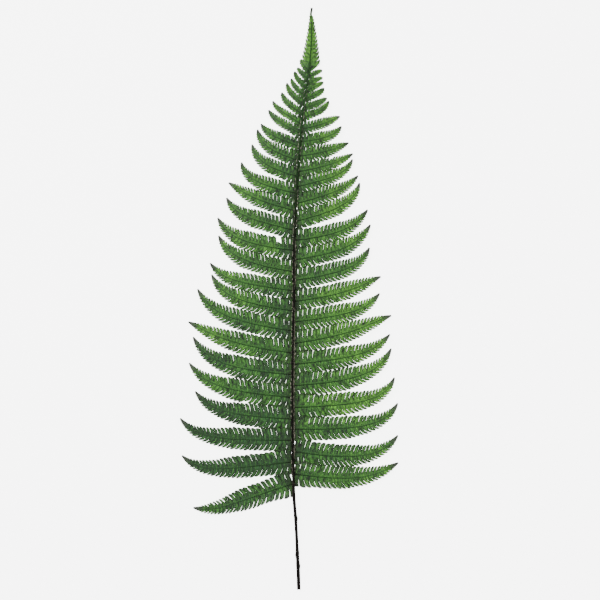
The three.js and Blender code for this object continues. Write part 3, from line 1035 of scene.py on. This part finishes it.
def stem_material(colours):
    """Dark stalk with pale flecks, and in stretches a pale strip down one side, partly pale ridges and partly
    painted light on its lit side, greener towards the tip.
    """
    material, tree, shader, where = new_material("fern stem", 0.5, 0.06)
    way, around = attributes(tree, "way", "around")
    stretch = tree.nodes.new("ShaderNodeMapping")
    stretch.inputs["Scale"].default_value = (1, 0.28, 1)
    feed(stretch.inputs["Vector"], where)
    lengthwise = Value(stretch.outputs["Vector"])
    shade, grain = place_group(
        tree, mottle_group(), Vector=lengthwise, Blotch_scale=260, Grain_scale=1500, Blotches=0.9, Grain=0.9
    )
    flecks = lengthwise.noise(900, 2, 0.6)
    fleck = flecks.step(0.6, 0.74) * way.step(0.1, 0.3, 0.15, 0.55) * way.step(0.5, 0.75, 1.0, 0.15)
    # A pale strip down one side of the stem, the side swapping in stretches: partly pale ridges, partly
    # painted light on the lit side
    lit_side = around * where.noise(28, 1).step(0.47, 0.53, -1.0, 1.0)
    ridge_and_light = lit_side.step(0.4, 0.75) * flecks.step(0.4, 0.62, 0.1, 0.9)
    ridge_and_light = ridge_and_light * way.step(0.15, 0.24) * way.step(0.5, 0.72, 1.0, 0.05)
    colour = painted(
        colours.stem_brown,
        (way.step(0.55, 0.85), colours.stem_green),
        (fleck, colours.stem_fleck_and_light),
        (ridge_and_light, colours.stem_fleck_and_light),
    )
    feed(shader.inputs["Roughness"], grain.step(0.3, 0.7, 0.38, 0.65))
    finish_material(shader, shaded(colour, shade), grain, 0.6)
    return material


def midrib_material(colours):
    """Thin midribs of the leaflets: dark at the stem, then dark green and lighter at the tips."""
    material, tree, shader, where = new_material("fern midrib", 0.7, 0.15)
    (way,) = attributes(tree, "way")
    grain = where.noise(1200)
    colour = painted(
        colours.stem_brown,
        (way.step(0.0, 0.12), colours.midrib_green),
        (way.step(0.55, 0.95, 0.0, 0.7), colours.leaf_green),
        (grain.step(0.55, 0.8, 0.0, 0.25), colours.leaf_green),
    )
    finish_material(shader, colour, grain, 0.3, 0.0002)
    return material


def scale_material(colours):
    """Dry papery scales: pale and streaked, browner at the foot."""
    material, tree, shader, where = new_material("fern scale", 0.75)
    way, tone = attributes(tree, "way", "tone")
    streaks = where.noise(1800, 2, 0.7)
    colour = painted(
        colours.stem_brown,
        (way.step(0.0, 0.5), colours.stem_fleck_and_light),
        (tone.step(-0.2, 1.0, 0.0, 0.75), colours.stem_brown),
        (streaks.step(0.5, 0.75, 0.0, 0.5), colours.stem_brown),
    )
    finish_material(shader, colour, streaks, 0.3, 0.0001)
    return material


def finish_piece(piece, slot, *nodes):
    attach(piece, "root")
    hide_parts(*nodes)


def make_leaves(name, sheets, context):
    """A piece of lobed sheets, with an upper and a lower face."""
    sizes, colours = context.scene.frond_sizes, context.scene.frond_colours
    makers = {"fern leaf": leaf_material, "fern leaf underside": underside_material}
    materials = [bpy.data.materials.get(title) or make(colours) for title, make in makers.items()]
    piece = leaf_mesh(name, sheets, sizes, materials)
    thicken(piece, sizes.leaf_thickness)
    finish_piece(piece, "leaf", "blade")


def fine_lobes(sheet, sizes):
    """How many lobes a leaflet has on each edge."""
    pitch = sizes.lobe_pitch * (0.5 + 0.5 * sheet.length / LONGEST)
    return max(round((sheet.tail_start * sheet.length - ROOT_GAP) / pitch), 4)


class FROND_OT_stem(bpy.types.Operator):
    """Makes the dark stem, from the cut end to the tip of the frond"""

    bl_idname = "frond.stem"
    bl_label = "Stem"

    def execute(self, context):
        colours = context.scene.frond_colours
        bm = bmesh.new()
        for name in ("way", "around"):
            bm.verts.layers.float.new(name)
        chance = Chance(STEM_SEED)
        feet = [row[0] for row in LEFT + RIGHT]
        stations = []
        y = STEM_FOOT
        while y < STEM_TOP:
            x, under, radius = stem_at(y)
            near = min(abs(y - foot) for foot in feet)
            bare = 1 - smooth(*BARE_END, y)
            swell = 0.16 * fade(near, 2.2) + lerp(0.05, 0.015, bare) * chance()
            half = radius * (0.93 + 0.32 * bare + swell)
            joined = smooth(92, 112, y)
            low = under - joined * (RIB_GAP + RIB_THICK * 0.8)
            high = under + 2 * radius * 0.98
            tall = (high - low) / 2
            x += lerp(0.1, 0.04, bare) * chance()
            for at, knob_side in KNOBS:
                knob = 0.35 * fade(y - at, KNOB_REACH)
                half += knob / 2
                x += knob_side * knob
            centre = in_frame(x, y, max((low + high) / 2, tall * 0.99))
            sideways, upwards = Vector((half * MM, 0, 0)), Vector((0, 0, tall * MM))
            stations.append((centre, sideways, upwards, y / FROND_LENGTH))
            y += STEM_STEP
        layers = bm.verts.layers.float
        sweep(bm, stations, STEM_SIDES, layers["way"], layers["around"])
        close_tubes(bm)
        piece = as_piece("stem_stalk", bm, stem_material(colours))
        finish_piece(piece, "stem", "stem")
        return {"FINISHED"}


class FROND_OT_leaflets(bpy.types.Operator):
    """Makes the lobed leaflets of one side"""

    bl_idname = "frond.leaflets"
    bl_label = "Leaflets"

    side: bpy.props.EnumProperty(
        name="Side",
        description="Side of the stem, seen from above",
        items=[("LEFT", "Left", "Left of the stem"), ("RIGHT", "Right", "Right of the stem")],
    )

    def execute(self, context):
        sizes = context.scene.frond_sizes
        side = -1 if self.side == "LEFT" else 1
        chance = Chance(TONE_SEED + side)
        sheets = []
        for number, sheet in enumerate(all_leaflets()[side]):
            tone = 0.3 * chance() + 0.2 * side + TONES.get((side, number), 0)
            sheets.append((sheet, fine_lobes(sheet, sizes), tone, TORN.get((side, number))))
        name = "leaflets_" + self.side.lower()
        make_leaves(name + "_lower", sheets[:LOWER_LEAFLETS], context)
        make_leaves(name + "_upper", sheets[LOWER_LEAFLETS:], context)
        return {"FINISHED"}


class FROND_OT_midribs(bpy.types.Operator):
    """Makes the thin midribs along the leaflets"""

    bl_idname = "frond.midribs"
    bl_label = "Midribs"

    def execute(self, context):
        sizes, colours = context.scene.frond_sizes, context.scene.frond_colours
        bm = bmesh.new()
        layer = bm.verts.layers.float.new("way")
        for leaflets in all_leaflets().values():
            for sheet in leaflets:
                stations = []
                count = max(round(sheet.length / MIDRIB_STEP), 6)
                foot_radius = sizes.midrib_radius * (0.5 + 0.5 * min(sheet.length / 90, 1))
                for i in range(count + 1):
                    share = lerp(*MIDRIB_RANGE, i / count)
                    x, y, z = sheet.place(share * sheet.length, 0)
                    _, (ahead_x, ahead_y) = sheet.midrib(share * sheet.length)
                    radius = foot_radius * (1 - 0.8 * share) * (1 + 0.7 * math.exp(-share * 30))
                    sideways = Vector((-ahead_y, ahead_x, 0)) * radius * MM
                    upwards = Vector((0, 0, radius * MM))
                    stations.append((in_frame(x, y, z - 0.05), sideways, upwards, share))
                sweep(bm, stations, MIDRIB_SIDES, layer)
        close_tubes(bm)
        piece = as_piece("leaflet_midribs", bm, midrib_material(colours))
        finish_piece(piece, "leaf", "blade")
        return {"FINISHED"}


class FROND_OT_scales(bpy.types.Operator):
    """Makes the dry scales that lie along the stem"""

    bl_idname = "frond.scales"
    bl_label = "Scales"

    def execute(self, context):
        colours = context.scene.frond_colours
        bm = bmesh.new()
        way_layer = bm.verts.layers.float.new("way")
        tone_layer = bm.verts.layers.float.new("tone")
        chance = Chance(SCALE_SEED)
        for number in range(SCALES):
            y = lerp(*SCALE_RANGE, (number + 0.5 + 0.5 * chance()) / SCALES)
            side = 1 if chance() > 0 else -1
            length, width = 2.6 + 1.2 * chance(), 0.34 + 0.12 * chance()
            out = 0.95 + 0.2 * chance()
            spread, lift, tone = 0.16 + 0.14 * chance(), 0.1 * chance(), chance()
            verts = bmesh.ops.create_grid(bm, x_segments=2, y_segments=6, size=1)["verts"]
            for vert in verts:
                across, way = vert.co.x, (vert.co.y + 1) / 2
                x, under, radius = stem_at(y + way * length)
                half = width * (1 - 0.9 * abs(2 * way - 0.7) ** 2 / 1.7) * min(radius, 1.2)
                x += side * (radius * out + way * length * spread) + across * half
                z = under + radius * (0.9 - 0.5 * way) + lift + 0.12 * (1 - across**2)
                vert.co = in_frame(x, y + way * length, z)
                vert[way_layer] = way
                vert[tone_layer] = tone
        for face in bm.faces:
            face.smooth = True
        piece = as_piece("stem_scales", bm, scale_material(colours))
        thicken(piece, SCALE_THICKNESS)
        finish_piece(piece, "stem", "stem")
        return {"FINISHED"}


class FROND_OT_tip(bpy.types.Operator):
    """Makes the lobed end of the frond"""

    bl_idname = "frond.tip"
    bl_label = "Tip"

    def execute(self, context):
        make_leaves("frond_tip", [(TipSheet(), TIP_LOBES, TIP_TONE, None)], context)
        return {"FINISHED"}


class FROND_OT_stage(bpy.types.Operator):
    """Makes the floor, the lights and the camera"""

    bl_idname = "frond.stage"
    bl_label = "Stage"

    def execute(self, context):
        scene = context.scene
        material = bpy.data.materials.new("floor")
        material.use_nodes = True
        shader = material.node_tree.nodes["Principled BSDF"]
        feed(shader.inputs["Base Color"], scene.frond_colours.floor)
        feed(shader.inputs["Roughness"], 0.9)
        feed(shader.inputs["Emission Color"], (1, 1, 1))
        feed(shader.inputs["Emission Strength"], scene.frond_sizes.floor_glow)
        bm = bmesh.new()
        bmesh.ops.create_grid(bm, x_segments=1, y_segments=1, size=3)
        floor = as_piece("floor", bm, material)

        world = bpy.data.worlds.new("studio")
        world.use_nodes = True
        background = world.node_tree.nodes["Background"]
        feed(background.inputs["Color"], (1, 1, 1))
        feed(background.inputs["Strength"], 0.75)
        scene.world = world
        # Name, place, width and power of each lamp
        lamps = [("key", (-0.9, 0.9, 1.5), 1.2, 34), ("fill", (1.2, -0.6, 1.6), 1.6, 16)]
        for name, place, size, power in lamps:
            data = bpy.data.lights.new(name, "AREA")
            data.shape = "DISK"
            data.size = size
            data.energy = power
            lamp = bpy.data.objects.new(name, data)
            lamp.location = place
            lamp.rotation_euler = (-Vector(place)).to_track_quat("-Z", "Y").to_euler()
            scene.collection.objects.link(lamp)

        # Straight down, with the frame 0.6 m wide at the height of the leaflets.
        frame_width, height, leaf_level = 0.6, 2.0, 0.007
        data = bpy.data.cameras.new("camera")
        data.sensor_width = 36
        data.lens = data.sensor_width * (height - leaf_level) / frame_width
        data.clip_end = 20
        camera = bpy.data.objects.new("camera", data)
        camera.location = (0.0108, -0.0015, height)
        camera.rotation_euler = (0, 0, 0)
        scene.collection.objects.link(camera)
        scene.camera = camera
        return {"FINISHED"}


OPERATORS = (
    FROND_OT_stem,
    FROND_OT_leaflets,
    FROND_OT_midribs,
    FROND_OT_scales,
    FROND_OT_tip,
    FROND_OT_stage,
)


class FROND_PT_panel(bpy.types.Panel):
    """Lists the frond's sizes, colours and pieces"""

    bl_label = "Fern frond"
    bl_idname = "FROND_PT_panel"
    bl_space_type = "VIEW_3D"
    bl_region_type = "UI"
    bl_category = "Frond"

    def draw(self, context):
        layout = self.layout
        for settings in (context.scene.frond_sizes, context.scene.frond_colours):
            for name in settings.__annotations__:
                layout.prop(settings, name)
        for operator in OPERATORS:
            layout.operator(operator.bl_idname)


CLASSES = (FrondSizes, FrondColours, *OPERATORS, FROND_PT_panel)


def register():
    for cls in CLASSES:
        bpy.utils.register_class(cls)
    bpy.types.Scene.frond_sizes = bpy.props.PointerProperty(type=FrondSizes)
    bpy.types.Scene.frond_colours = bpy.props.PointerProperty(type=FrondColours)


def unregister():
    del bpy.types.Scene.frond_colours
    del bpy.types.Scene.frond_sizes
    for cls in reversed(CLASSES):
        bpy.utils.unregister_class(cls)


def main():
    register()
    bpy.ops.frond.stage()
    bpy.ops.frond.stem()
    bpy.ops.frond.leaflets(side="LEFT")
    bpy.ops.frond.leaflets(side="RIGHT")
    bpy.ops.frond.midribs()
    bpy.ops.frond.scales()
    bpy.ops.frond.tip()


if __name__ == "__main__":
    main()
